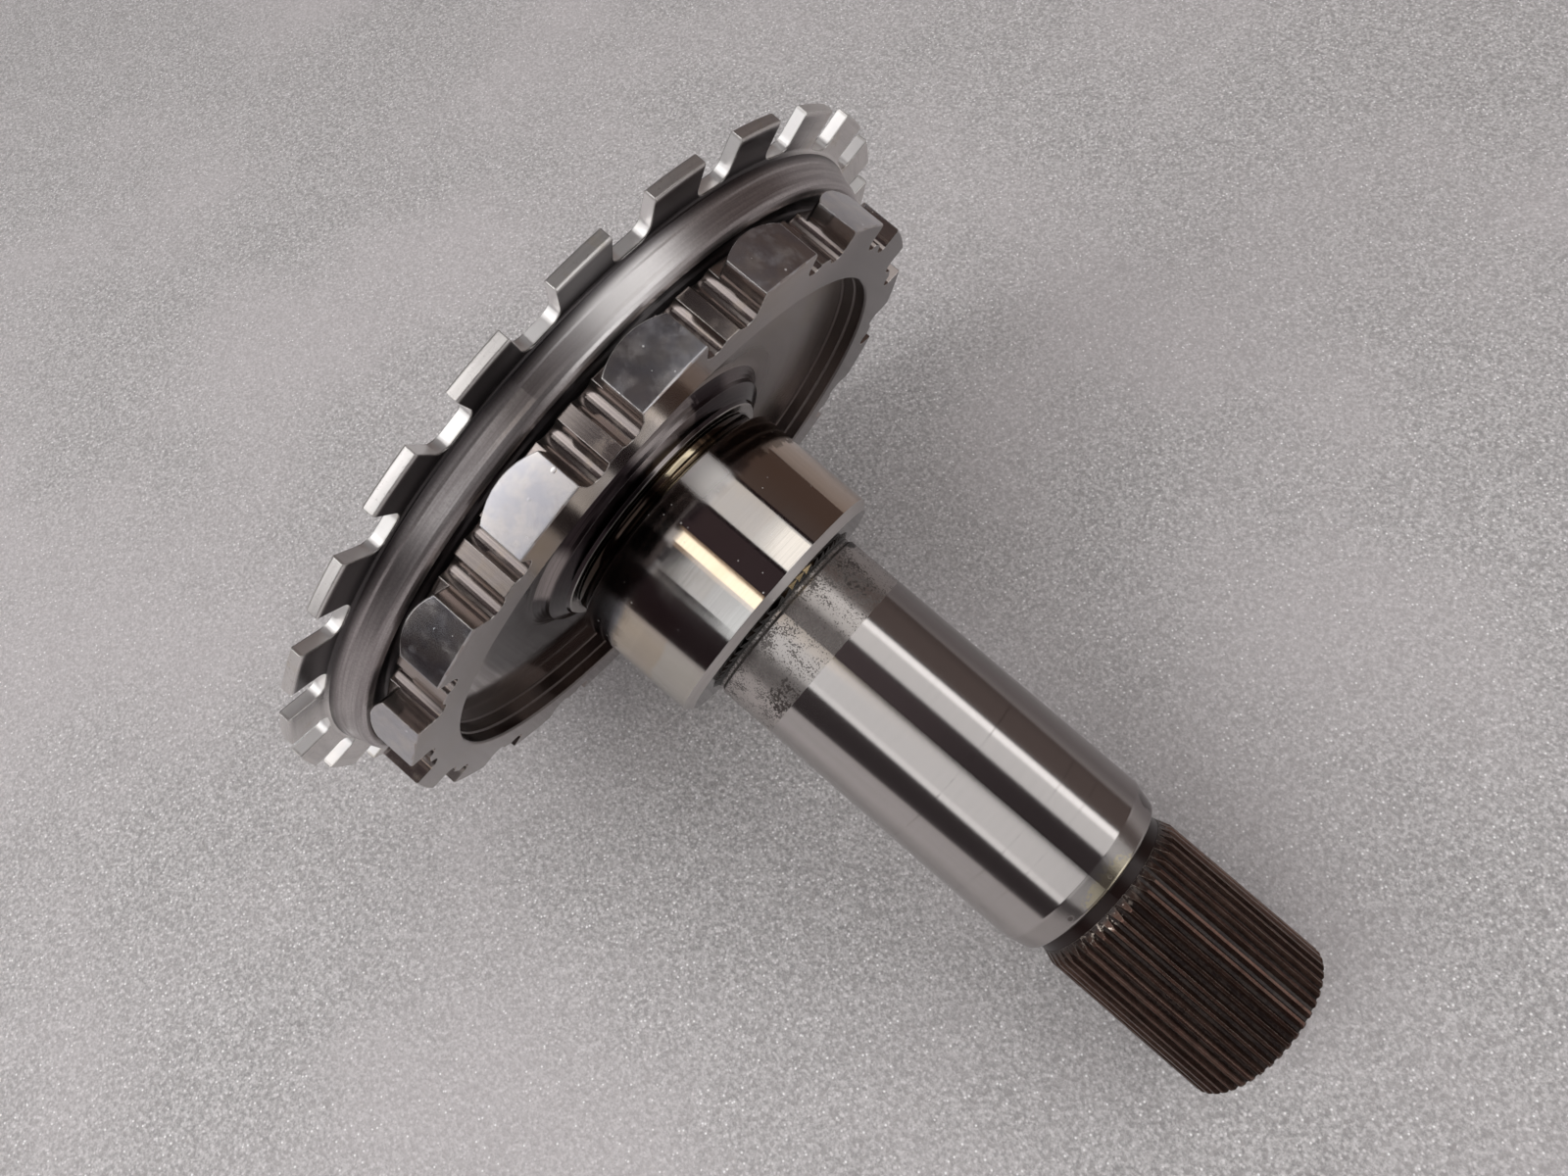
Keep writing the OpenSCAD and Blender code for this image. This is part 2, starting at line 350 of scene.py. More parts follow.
def specks_group():
    """Mask of small sharp specks that gather in clusters."""
    tree, given, out = new_group("Specks", ("Place", "Grain", "Cover"), ("Mask",))
    finer = measured(tree, given["Place"], given["Grain"])
    grain = noise(tree, finer, 1.0, detail=2.0, rough=0.6)
    cluster = noise(tree, finer, 0.11, detail=3.0, rough=0.6)
    field = plus(tree, grain, times(tree, cluster, 0.7))
    start = minus(tree, 1.12, times(tree, given["Cover"], 0.5))
    feed(tree, out["Mask"], fade(tree, field, start, plus(tree, start, 0.06)))


def drops_group():
    """Round oil drops: their height for a bump, and their mask."""
    tree, given, out = new_group("Oil Drops", ("Place", "Spacing", "Share"),
                                 ("Height", "Mask"))
    place = measured(tree, given["Place"], given["Spacing"])
    cells = add(tree, "TexVoronoi", {"Vector": place, "Scale": 1.0, "Randomness": 1.0})
    pick = add(tree, "SeparateColor", {0: cells.outputs["Color"]}).outputs
    chosen = calc(tree, "LESS_THAN", pick[0], given["Share"])
    size = calc(tree, "MULTIPLY_ADD", pick[1], 0.26, 0.06)
    inside = calc(tree, "SUBTRACT", 1.0,
                  calc(tree, "DIVIDE", cells.outputs["Distance"], size), clamp=True)
    feed(tree, out["Height"], times(tree, chosen, calc(tree, "POWER", inside, 0.5)))
    feed(tree, out["Mask"], times(tree, chosen, calc(tree, "GREATER_THAN", inside, 0.02)))


def mark_group():
    """Mask of one ragged mark on a turned surface, from its middle and half sizes."""
    tree, given, out = new_group("Surface Mark",
                                 ("Angle", "Height", "Place", "Middle", "Level", "Turn",
                                  "Half Width", "Half Height", "Ragged"), ("Mask",))
    sideways = times(tree, given["Turn"],
                     calc(tree, "RADIANS", minus(tree, given["Angle"], given["Middle"])))
    aside = calc(tree, "DIVIDE", sideways, given["Half Width"])
    above = calc(tree, "DIVIDE", minus(tree, given["Height"], given["Level"]),
                 given["Half Height"])
    flat = add(tree, "CombineXYZ", {0: aside, 1: above}).outputs[0]
    away = add(tree, "VectorMath", {0: flat}, operation="LENGTH")
    rough = noise(tree, given["Place"], 1.3, detail=4.0, rough=0.6)
    uneven = times(tree, given["Ragged"], minus(tree, rough, 0.5))
    feed(tree, out["Mask"],
         fade(tree, plus(tree, away.outputs["Value"], uneven), 1.1, 0.85))


def make_groups():
    for make in (lathe_position_group, turning_lines_group, edge_wear_group,
                 corner_grime_and_shade_group, stains_group, specks_group, drops_group, mark_group):
        make()


# Steel finishes


def finish(tree, colour, rough, metal, rounded, height, bump, step, clean=None,
           anisotropic=0.0):
    """Puts colour, roughness and bump (step in millimetres) into the material's shader.

    Clean is the share of bare metal, where dirt doesn't hide it. An anisotropic finish
    spreads its highlights across the turning lines.
    """
    metallic = metal if clean is None else times(tree, metal, clean)
    shader = add(tree, "BsdfPrincipled", {
        "Base Color": colour, "Roughness": rough, "Metallic": metallic,
        "Anisotropic": anisotropic, "Anisotropic Rotation": 0.25 if anisotropic else 0.0})
    if anisotropic:
        tangent = add(tree, "Tangent", direction_type="RADIAL", axis="Z")
        feed(tree, shader.inputs["Tangent"], tangent.outputs[0])
    bumped = add(tree, "Bump", {"Height": height, "Strength": bump, "Distance": step * MM,
                                "Normal": rounded})
    feed(tree, shader.inputs["Normal"], bumped.outputs[0])
    feed(tree, add(tree, "OutputMaterial").inputs["Surface"], shader.outputs[0])


def worn(tree, at, colour, rough, wear=0.8, width=0.35, grime_and_shade=0.9, reach=2.5):
    """Adds bright worn outer edges, and dirty oil with painted shade in inner corners;
    width and reach in millimetres.
    """
    edges = use(tree, "Edge Wear", Width=width * MM, Place=at["Place"])
    edge = times(tree, wear, edges["Mask"])
    # Inner corners darkened by how closed in they are: dirty oil and painted shade
    corners = use(tree, "Corner Grime And Shade", Reach=reach * MM, Place=at["Place"])
    dirt_and_shade = times(tree, grime_and_shade, corners["Mask"])
    colour = mix(tree, dirt_and_shade, mix(tree, edge, colour, (0.78, 0.76, 0.73)), colours().grime_and_shade)
    rough = mix(tree, dirt_and_shade, mix(tree, edge, rough, 0.22), 0.45)
    metal = minus(tree, 1.0, times(tree, dirt_and_shade, 0.8))
    return colour, rough, metal, edges["Rounded"]


def blend(tree, under, field, start, end, share, colour):
    """Lays a colour over the one under it as a field goes from start to end."""
    return mix(tree, fade(tree, field, start, end, 0.0, share), under, colour)


def paint(tree, under, mask, share, colour):
    """Lays a colour over the one under it where the mask is, up to the share."""
    return mix(tree, times(tree, mask, share), under, colour)


def turned(tree, at, density, drift):
    """Turning lines along a surface: their fine Lines and broad Shades."""
    return use(tree, "Turning Lines", Along=at["Along"], Around=at["Around"],
               Density=density, Drift=drift)


def stains(tree, at, size, cover):
    return use(tree, "Oil Stains", Place=at["Place"], Size=size, Cover=cover)["Mask"]


def specks(tree, at, grain, cover):
    return use(tree, "Specks", Place=at["Place"], Grain=grain, Cover=cover)["Mask"]


def dust_dots(tree, at, spacing, share):
    """Mask of tiny light dots of dust and lint."""
    drops = use(tree, "Oil Drops", Place=at["Place"], Spacing=spacing, Share=share)
    return calc(tree, "GREATER_THAN", drops["Height"], 0.72)


def arc(tree, angle, near, full, full_end=-120.0, far=-160.0):
    """Mask of an arc of the turned surface, soft at both ends, all angles in degrees."""
    return times(tree, fade(tree, angle, near, full), fade(tree, angle, far, full_end))


# Marks: angle in degrees, height (on a lug: radius), half width and half height in
# millimetres, and how ragged the outline is
MARKS = {
    "lug drop": (90.5, 85.7, 0.8, 0.9, 0.8),
    "lead stain": (-4.0, 141.0, 8.0, 3.6, 1.6),
    "left fretting": (-46.0, 61.5, 4.2, 5.2, 1.8),
    "right fretting": (39.0, 67.0, 5.5, 3.4, 1.8),
    "undercut blot": (-72.0, 56.0, 3.6, 1.2, 2.4),
    "lead chip": (-65.5, 138.0, 2.6, 2.3, 2.0),
    "small pit": (-6.6, 139.3, 0.42, 0.45, 0.8),
    "large pit": (25.8, 139.2, 0.75, 0.5, 0.8),
}

# Faint rings on the ground shaft: height in millimetres and darkness
FAINT_RINGS = ((103.4, 0.42), (120.4, 0.26), (126.6, 0.2))


def mark(tree, at, name, turn=seat_radius("shaft_seat") / MM, height="Height"):
    """Mask of a named mark on a surface that turns at the given radius."""
    middle, level, wide, high, ragged = MARKS[name]
    return use(tree, "Surface Mark", Angle=at["Angle"], Height=at[height],
               Place=at["Place"], Middle=middle, Level=level, Turn=turn,
               Half_Width=wide, Half_Height=high, Ragged=ragged)["Mask"]


def lug_steel(tree, at):
    """Milled lugs: scratched satin steel, with a painted highlight in the gaps and painted
    shade in front.
    """
    lines = turned(tree, at, 3.0, 2.0)
    stain = stains(tree, at, 9.0, 0.45)
    scratch = noise(tree, at["Place"], 1.1, detail=5.0, rough=0.75, distortion=1.2)
    tint = mix(tree, times(tree, stain, 0.55), (0.76, 0.73, 0.71), colours().varnish)
    tint = blend(tree, tint, lines["Shades"], 0.35, 0.75, 0.35, colours().dull_steel)
    tint = blend(tree, tint, scratch, 0.56, 0.66, 0.4, (0.25, 0.22, 0.20))
    rough = mix(tree, stain, 0.31, 0.40)
    # Painted shade: the lugs' front faces are painted near black on the arc within 48 to 62
    # degrees of +X
    face = times(tree, fade(tree, at["Height"], 2.35, 2.55),
                 fade(tree, at["Radius"], 89.5, 88.3))
    face = times(tree, face, fade(tree, size_of(tree, at["Angle"]), 62.0, 48.0))
    tint = paint(tree, tint, face, 0.93, (0.022, 0.016, 0.019))
    # Painted highlight: the walls at the bottom of the gaps between lugs are painted pale
    painted_gap_highlight = times(tree, fade(tree, at["Height"], 2.35, 2.15),
                  fade(tree, at["Radius"], 89.3, 88.9))
    tint = paint(tree, tint, painted_gap_highlight, 0.8, (0.95, 0.93, 0.92))
    drop = times(tree, face, mark(tree, at, "lug drop", turn=85.7, height="Radius"))
    tint = mix(tree, drop, tint, colours().grime_and_shade)
    rough = mix(tree, face, rough, 0.20)
    finish(tree, *worn(tree, at, tint, rough, wear=0.9, width=0.35, grime_and_shade=0.3, reach=1.2),
           plus(tree, lines["Lines"], scratch), bump=0.3, step=0.02, clean=0.92)


def shoulder_steel(tree, at):
    """Round shoulder of the web: turned and finely streaked by handling, with a painted
    highlight on one arc and painted shade on another and at its foot.
    """
    lines = turned(tree, at, 3.0, 3.5)
    arcs = turned(tree, at, 0.9, 1.6)
    grain = noise(tree, at["Place"], 2.2, detail=3.0, rough=0.7)
    rub = fade(tree, noise(tree, at["Place"], 0.045, detail=2.0), 0.38, 0.62)
    tint = mix(tree, fade(tree, arcs["Lines"], 0.3, 0.7), (0.56, 0.52, 0.515),
               (0.34, 0.305, 0.305))
    streaks = times(tree, fade(tree, lines["Lines"], 0.42, 0.72),
                    mix(tree, rub, 0.10, 0.38))
    tint = mix(tree, streaks, tint, (0.72, 0.69, 0.675))
    tint = blend(tree, tint, grain, 0.35, 0.7, 0.35, (0.22, 0.19, 0.19))
    # Painted highlight: the shoulder is painted pale on the arc round -18 to -13 degrees
    painted_shoulder_highlight = arc(tree, at["Angle"], -32.0, -18.0, -13.0, 1.0)
    tint = paint(tree, tint, painted_shoulder_highlight, 0.85, (0.88, 0.85, 0.84))
    # Painted shade: the shoulder is painted darker on the arc round 3 to 9 degrees
    dulled = arc(tree, at["Angle"], -6.0, 3.0, 9.0, 22.0)
    tint = paint(tree, tint, dulled, 0.45, (0.17, 0.15, 0.15))
    # Painted shade: near black at the shoulder's foot by the lug roots and beside the
    # gear's back
    foot = most(tree, fade(tree, at["Height"], 5.0, 3.2),
                fade(tree, at["Radius"], 76.6, 75.2))
    tint = paint(tree, tint, foot, 0.88, (0.035, 0.027, 0.029))
    rough = calc(tree, "MULTIPLY_ADD", grain, 0.16, mix(tree, streaks, 0.27, 0.22))
    colour, rough, metal, rounded = worn(tree, at, tint, rough, wear=0.3, grime_and_shade=0.95,
                                         reach=2.6)
    height = calc(tree, "MULTIPLY_ADD", grain, 0.8, lines["Lines"])
    finish(tree, colour, rough, metal, rounded, height, bump=0.3, step=0.02, clean=0.95,
           anisotropic=0.35)


def tooth_steel(tree, at):
    """Tips of the parking teeth: hard and polished, with oil drops, dust and spots."""
    lines = turned(tree, at, 5.0, 1.5)
    stain = stains(tree, at, 11.0, 0.5)
    drops = use(tree, "Oil Drops", Place=at["Place"], Spacing=2.6, Share=0.16)
    haze = stains(tree, at, 4.0, 0.62)
    dust = dust_dots(tree, at, 1.7, 0.20)
    tint = mix(tree, times(tree, stain, 0.55), colours().steel, (0.33, 0.315, 0.33))
    cast = noise(tree, at["Place"], 0.22, detail=3.0)
    tint = blend(tree, tint, cast, 0.35, 0.62, 0.7, (0.42, 0.42, 0.46))
    rough = calc(tree, "MULTIPLY_ADD", haze, 0.05, mix(tree, stain, 0.11, 0.17))
    rough = mix(tree, drops["Mask"], rough, 0.05)
    colour, rough, metal, rounded = worn(tree, at, tint, rough, wear=1.0, width=0.35,
                                         grime_and_shade=0.4, reach=1.5)
    spots = specks(tree, at, 0.9, 0.34)
    colour = paint(tree, colour, spots, 0.14, (0.36, 0.33, 0.315))
    colour = paint(tree, colour, dust, 0.7, (0.75, 0.73, 0.74))
    cloud = plus(tree, times(tree, stain, 0.15), times(tree, haze, 0.11))
    cloud = plus(tree, cloud, times(tree, dust, 0.5))
    # Painted light: the teeth round the front, within 28 to 38 degrees of +X, are less
    # metallic so that they show lighter
    clear = fade(tree, size_of(tree, at["Angle"]), 28.0, 38.0, 0.90, 0.98)
    height = calc(tree, "MULTIPLY_ADD", lines["Lines"], 0.03, drops["Height"])
    finish(tree, colour, rough, metal, rounded, height, bump=0.35, step=0.06,
           clean=minus(tree, clear, cloud))


def valley_steel(tree, at):
    """Valleys between the parking teeth: cut surfaces with a wet film of oil."""
    across = add(tree, "CombineXYZ", {0: at["Angle"]}).outputs[0]
    cuts = noise(tree, across, 2.2, detail=4.0, rough=0.7)
    stain = stains(tree, at, 5.0, 0.6)
    tint = blend(tree, (0.43, 0.375, 0.35), cuts, 0.3, 0.7, 0.45, (0.23, 0.195, 0.185))
    tint = paint(tree, tint, stain, 0.4, (0.38, 0.31, 0.24))
    finish(tree, *worn(tree, at, tint, mix(tree, stain, 0.12, 0.22), wear=0.9, width=0.3,
                       grime_and_shade=0.85, reach=2.2), cuts, bump=0.15, step=0.02, clean=0.95)


def dish_steel(tree, at):
    """Front of the gear and the dish in it: turned rings under a brown film of oil, with
    painted shade and a painted dark reflection.
    """
    lines = turned(tree, at, 2.6, 1.2)
    film = stains(tree, at, 22.0, 0.7)
    # Painted shade: the dish floor is painted darker towards the neck
    painted_shade_near_neck = fade(tree, at["Radius"], 54.0, 38.0)
    tint = blend(tree, (0.50, 0.46, 0.445), lines["Shades"], 0.3, 0.7, 0.45,
                 (0.36, 0.32, 0.31))
    tint = paint(tree, tint, film, 0.4, (0.46, 0.385, 0.30))
    tint = paint(tree, tint, painted_shade_near_neck, 0.45, (0.20, 0.165, 0.16))
    # Painted reflection: near black on the floor by the neck, on the arc from 10 to 170
    # degrees, where the dark wall would show
    painted_dark_reflection = times(tree, arc(tree, at["Angle"], 10.0, 50.0, 125.0, 170.0),
                 fade(tree, at["Radius"], 54.5, 49.0))
    tint = paint(tree, tint, painted_dark_reflection, 0.88, (0.035, 0.026, 0.028))
    satin = arc(tree, at["Angle"], -40.0, -75.0)
    rim = sizes().dish_radius / MM
    front = sizes().gear_front / MM - 0.5
    low = calc(tree, "LESS_THAN", at["Height"], front)
    # Painted shade: the dish's wall under the ring's ledge is painted dark
    wall = times(tree, low, fade(tree, at["Radius"], rim - 1.6, rim - 0.6))
    tint = paint(tree, tint, wall, 0.9, (0.13, 0.10, 0.09))
    ring = calc(tree, "GREATER_THAN", at["Height"], front)
    shaded = most(tree, arc(tree, at["Angle"], -35.0, -60.0),
                  times(tree, 0.5, arc(tree, at["Angle"], 15.0, 45.0, 120.0, 165.0)))
    tint = mix(tree, times(tree, ring, shaded), tint, (0.17, 0.15, 0.145))
    inner = fade(tree, at["Radius"], 44.0, 38.0, 0.0, 0.10)
    rough = plus(tree, inner, mix(tree, satin, mix(tree, film, 0.07, 0.12), 0.24))
    rough = mix(tree, ring, rough, 0.17)
    finish(tree, *worn(tree, at, tint, rough, wear=0.8, width=0.3, grime_and_shade=0.3, reach=1.2),
           lines["Lines"], bump=0.2, step=0.012, clean=0.96)


def neck_steel(tree, at):
    """Neck, collar and round groove before the journal: near black, with painted highlights
    on two arcs and on the collar's edge, and gold varnish in the groove on the lit arc.
    """
    lines = turned(tree, at, 4.0, 1.2)
    film = stains(tree, at, 12.0, 0.6)
    collar = sizes().collar_height / MM
    in_groove = calc(tree, "GREATER_THAN", at["Height"], collar + 0.05)
    angle = plus(tree, at["Angle"], times(tree, 8.0, film))
    # Painted highlights: the neck is painted light on the arc round -28 to -9 degrees and
    # at its foot round 38 to 58 degrees, and near black elsewhere
    clean = arc(tree, angle, -34.0, -28.0, -9.0, -2.0)
    low = times(tree, fade(tree, at["Height"], 16.7, 15.9),
                arc(tree, angle, 30.0, 38.0, 58.0, 64.0))
    foot = fade(tree, at["Height"], 18.0, 15.5)
    tint = mix(tree, most(tree, times(tree, clean, 0.7), low), (0.030, 0.022, 0.025),
               (0.36, 0.32, 0.31))
    # Painted shade: at the neck's foot beyond -48 degrees, a mid-dark tone that carries on
    # the dish ring's painted shade
    tint = mix(tree, times(tree, foot, arc(tree, angle, -48.0, -58.0)), tint,
               (0.17, 0.145, 0.145))
    tint = blend(tree, tint, lines["Lines"], 0.35, 0.7, 0.4, (0.09, 0.07, 0.07))
    # Painted highlight: a pale line along the collar's edge
    rim = fade(tree, apart(tree, at["Height"], collar), 0.28, 0.12)
    # Painted highlight: the varnish in the groove is gold only on the lit arc, and dark
    # brown elsewhere
    varnish = mix(tree, clean, (0.040, 0.028, 0.020), colours().varnish)
    tint = mix(tree, times(tree, in_groove, mix(tree, film, 0.75, 0.95)), tint, varnish)
    tint = paint(tree, tint, rim, 0.8, (0.55, 0.52, 0.49))
    smooth = mix(tree, foot, 0.12, 0.27)
    colour, rough, metal, rounded = worn(tree, at, tint, smooth, wear=0.4, width=0.2,
                                         grime_and_shade=0.25, reach=0.8)
    off = minus(tree, at["Height"], (collar + JOURNAL_LOW / MM) / 2)
    hollow = times(tree, in_groove, times(tree, off, off))
    height = calc(tree, "MULTIPLY_ADD", hollow, 0.17, times(tree, lines["Lines"], 0.002))
    finish(tree, colour, rough, metal, rounded, height, bump=1.0, step=1.0)


def journal_steel(tree, at):
    """Ground bearing journal: almost a mirror, with bands of oil film from its bearing, and
    painted shade, a painted dark reflection and a painted highlight at its foot.
    """
    lines = turned(tree, at, 8.0, 0.8)
    low = JOURNAL_LOW / MM
    sway = calc(tree, "MULTIPLY_ADD", noise(tree, at["Around"], 2.5, detail=4.0), 4.0,
                at["Height"])
    band = mix(tree, fade(tree, sway, low + 10.5, low + 8.5), (0.57, 0.49, 0.39),
               (0.40, 0.41, 0.44))
    band = blend(tree, band, sway, low + 14.6, low + 15.6, 0.6, (0.50, 0.43, 0.35))
    band = mix(tree, fade(tree, sway, low + 20.5, low + 21.5), band, (0.55, 0.52, 0.465))
    band = mix(tree, arc(tree, at["Angle"], -22.0, -42.0), band, (0.50, 0.39, 0.31))
    patch = stains(tree, at, 16.0, 0.7)
    around = apart(tree, at["Angle"], 4.0)
    share = plus(tree, fade(tree, around, 22.0, 46.0, 0.15, 0.85), times(tree, patch, 0.15))
    high = JOURNAL_HIGH / MM
    ground = times(tree, fade(tree, at["Height"], high - 0.1, high, 1, 0),
                   fade(tree, at["Radius"], 29.6, 30.2))
    tint = blend(tree, colours().steel, lines["Lines"], 0.40, 0.68, 0.32,
                 (0.40, 0.375, 0.36))
    tint = mix(tree, times(tree, share, ground), tint, band)
    # Painted reflection: near black low on the journal on the arc round 9.5 to 38 degrees,
    # where the dark ring and gear would show
    foot = fade(tree, sway, low + 10.2, low + 8.0)
    painted_dark_reflection = times(tree, foot, arc(tree, at["Angle"], 6.5, 9.5, 38.0, 44.0))
    tint = paint(tree, tint, painted_dark_reflection, 0.88, (0.045, 0.030, 0.026))
    lower = fade(tree, sway, low + 10.5, low + 7.0)
    shadow = times(tree, lower, arc(tree, at["Angle"], -27.0, -33.0))
    tint = paint(tree, tint, shadow, 0.5, (0.10, 0.075, 0.068))
    # Painted highlight: pale and rougher at the journal's foot on the arc round -27 to -14
    # degrees
    painted_foot_highlight = times(tree, lower, arc(tree, at["Angle"], -31.0, -27.0, -14.0, -10.0))
    tint = mix(tree, painted_foot_highlight, tint, (0.86, 0.83, 0.81))
    dust = dust_dots(tree, at, 1.6, 0.16)
    tint = paint(tree, tint, dust, 0.7, (0.80, 0.78, 0.77))
    shiny = plus(tree, fade(tree, lines["Lines"], 0.45, 0.8, 0.055, 0.11),
                 times(tree, patch, 0.03))
    hazy = arc(tree, at["Angle"], 16.0, 22.0, 60.0, 75.0)
    shiny = calc(tree, "MULTIPLY_ADD", hazy, 0.06, shiny)
    rough = mix(tree, ground, 0.30, mix(tree, painted_foot_highlight, shiny, 0.34))
    colour, rough, metal, rounded = worn(tree, at, tint, rough, wear=0.6, width=0.25,
                                         grime_and_shade=0.3, reach=0.6)
    waves = noise(tree, at["Place"], 0.11, detail=1.0)
    height = calc(tree, "MULTIPLY_ADD", waves, 8.0, lines["Lines"])
    clear = minus(tree, 1.0, times(tree, dust, 0.6))
    finish(tree, colour, rough, metal, rounded, height, bump=0.12, step=0.01, clean=clear,
           anisotropic=0.55)


def seat_steel(tree, at):
    """Ground shaft: satin steel with a fretted band, faint rings, a stained lead, and
    painted shade on two arcs and in the undercut.
    """
    lines = turned(tree, at, 7.0, 1.0)
    low, high, fret_end = SEAT_LOW / MM, SEAT_HIGH / MM, sizes().fret_length / MM
    band = times(tree, fade(tree, at["Height"], fret_end, fret_end - 0.12),
                 fade(tree, at["Height"], low - 2.3, low - 1.9))
    lead = fade(tree, at["Height"], high, high + 0.8)
    tint = blend(tree, colours().steel, lines["Shades"], 0.35, 0.75, 0.15,
                 (0.46, 0.44, 0.42))
    broken = noise(tree, at["Around"], 2.2, detail=4.0, rough=0.6)
    for level, depth in FAINT_RINGS:
        off = apart(tree, at["Height"], level)
        ring = times(tree, fade(tree, off, 0.30, 0.10),
                     fade(tree, broken, 0.42, 0.62, 0.1, 1.0))
        tint = mix(tree, times(tree, ring, depth), tint, (0.13, 0.11, 0.105))
    tint = paint(tree, tint, lead, 0.35, (0.30, 0.27, 0.255))
    stain = mark(tree, at, "lead stain")
    shaded = plus(tree, arc(tree, at["Angle"], -40.0, -58.0),
                  times(tree, 0.35, arc(tree, at["Angle"], 50.0, 66.0, 120.0, 160.0)))
    tint = mix(tree, shaded, tint, (0.22, 0.195, 0.19))
    tint = mix(tree, times(tree, stain, mix(tree, lead, 0.15, 0.65)), tint,
               (0.60, 0.53, 0.36))
    clusters = most(tree, mark(tree, at, "left fretting"), mark(tree, at, "right fretting"))
    first = fade(tree, at["Height"], 60.5, 56.5)
    fretting = specks(tree, at, 0.38, mix(tree, most(tree, clusters, first), 0.44, 0.58))
    clumps = specks(tree, at, 0.7, mix(tree, clusters, 0.12, 0.56))
    mottle = times(tree, band, most(tree, times(tree, fretting, 0.8), clumps))
    # Painted shade: the undercut below the seat is painted near black, together with a blot
    # of dirty oil
    under = most(tree, fade(tree, at["Height"], low - 0.9, low - 1.5),
                 mark(tree, at, "undercut blot"))
    tint = paint(tree, tint, band, 0.5, (0.53, 0.485, 0.46))
    tint = mix(tree, mottle, tint, (0.035, 0.026, 0.023))
    tint = paint(tree, tint, under, 0.92, colours().grime_and_shade)
    chip = mark(tree, at, "lead chip")
    tint = paint(tree, tint, chip, 0.95, (0.055, 0.038, 0.038))
    pits = most(tree, mark(tree, at, "small pit"), mark(tree, at, "large pit"))
    tint = paint(tree, tint, pits, 0.9, (0.03, 0.02, 0.018))
    rough = mix(tree, band, mix(tree, lead, 0.145, 0.20), 0.30)
    rough = mix(tree, most(tree, mottle, under), rough, 0.6)
    colour, rough, metal, rounded = worn(tree, at, tint, rough, wear=0.6, width=0.25,
                                         grime_and_shade=0.6, reach=0.7)
    height = minus(tree, lines["Lines"], times(tree, mottle, 1.5))
    height = minus(tree, height, times(tree, most(tree, chip, pits), 6.0))
    dark = most(tree, most(tree, mottle, pits), under)
    clear = minus(tree, 0.97, times(tree, dark, 0.9))
    finish(tree, colour, rough, metal, rounded, height, bump=0.3, step=0.012, clean=clear,
           anisotropic=0.6)


def spline_steel(tree, at):
    """Splined end and the neck before it: brown-black oxide, rubbed off along the tips,
    with painted glints where the teeth start.
    """
    lift = sizes().spline_radius / MM
    tips = fade(tree, at["Radius"], lift - 0.22, lift - 0.02)
    roots = fade(tree, at["Radius"], lift - 0.5, lift - 1.05)
    uneven = noise(tree, at["Place"], 0.35, detail=5.0, rough=0.65)
    fine = specks(tree, at, 0.5, 0.6)
    tint = mix(tree, fade(tree, uneven, 0.3, 0.7), colours().oxide, (0.080, 0.044, 0.034))
    tint = mix(tree, times(tree, tips, fade(tree, uneven, 0.3, 0.6, 0.2, 0.7)), tint,
               (0.125, 0.066, 0.051))
    tint = mix(tree, roots, tint, (0.016, 0.008, 0.007))
    start = sizes().spline_start / MM
    toothed = fade(tree, at["Height"], start - 0.2, start + 0.6)
    tint = mix(tree, times(tree, fine, times(tree, toothed, 0.06)), tint,
               (0.40, 0.32, 0.26))
    tint = mix(tree, toothed, (0.014, 0.006, 0.005), tint)
    edges = use(tree, "Edge Wear", Width=0.11 * MM, Place=at["Place"])
    ramp = fade(tree, at["Height"], start + 3.4, start + 1.8)
    bright = times(tree, edges["Mask"], mix(tree, ramp, 0.8, 1.0))
    # Painted highlights: bright specks where the teeth start, mostly round 18 degrees
    lit = fade(tree, apart(tree, at["Angle"], 18.0), 26.0, 12.0, 0.12, 1.0)
    glint_specks = specks(tree, at, 0.9, 0.42)
    glints = times(tree, times(tree, ramp, toothed), times(tree, glint_specks, 0.85))
    bright = most(tree, bright, times(tree, glints, lit))
    tint = mix(tree, bright, tint, (0.62, 0.54, 0.47))
    rough = mix(tree, bright, mix(tree, tips, 0.32, 0.24), 0.15)
    rough = mix(tree, toothed, 0.28, rough)
    finish(tree, tint, rough, mix(tree, roots, 0.88, 0.3), edges["Rounded"], uneven,
           bump=0.35, step=0.05)


def end_steel(tree, at):
    """Faced end of the spline with its lathe centre."""
    lines = turned(tree, at, 2.4, 0.6)
    stain = stains(tree, at, 6.0, 0.6)
    tint = blend(tree, colours().steel, lines["Shades"], 0.3, 0.7, 0.6,
                 colours().dull_steel)
    tint = paint(tree, tint, stain, 0.75, (0.12, 0.095, 0.08))
    finish(tree, *worn(tree, at, tint, mix(tree, stain, 0.26, 0.42), wear=0.8, grime_and_shade=0.9),
           lines["Lines"], bump=0.5, step=0.03, anisotropic=0.3)


def back_steel(tree, at):
    """Back of the disc, hub and pilot bore: turned steel, lightly stained."""
    lines = turned(tree, at, 2.0, 0.9)
    film = stains(tree, at, 20.0, 0.55)
    tint = blend(tree, colours().steel, lines["Shades"], 0.3, 0.7, 0.6,
                 colours().dull_steel)
    tint = paint(tree, tint, film, 0.4, (0.38, 0.32, 0.24))
    finish(tree, *worn(tree, at, tint, mix(tree, film, 0.24, 0.33), wear=0.8, grime_and_shade=0.8,
                       reach=4.0), lines["Lines"], bump=0.45, step=0.025, anisotropic=0.4)


# Zones


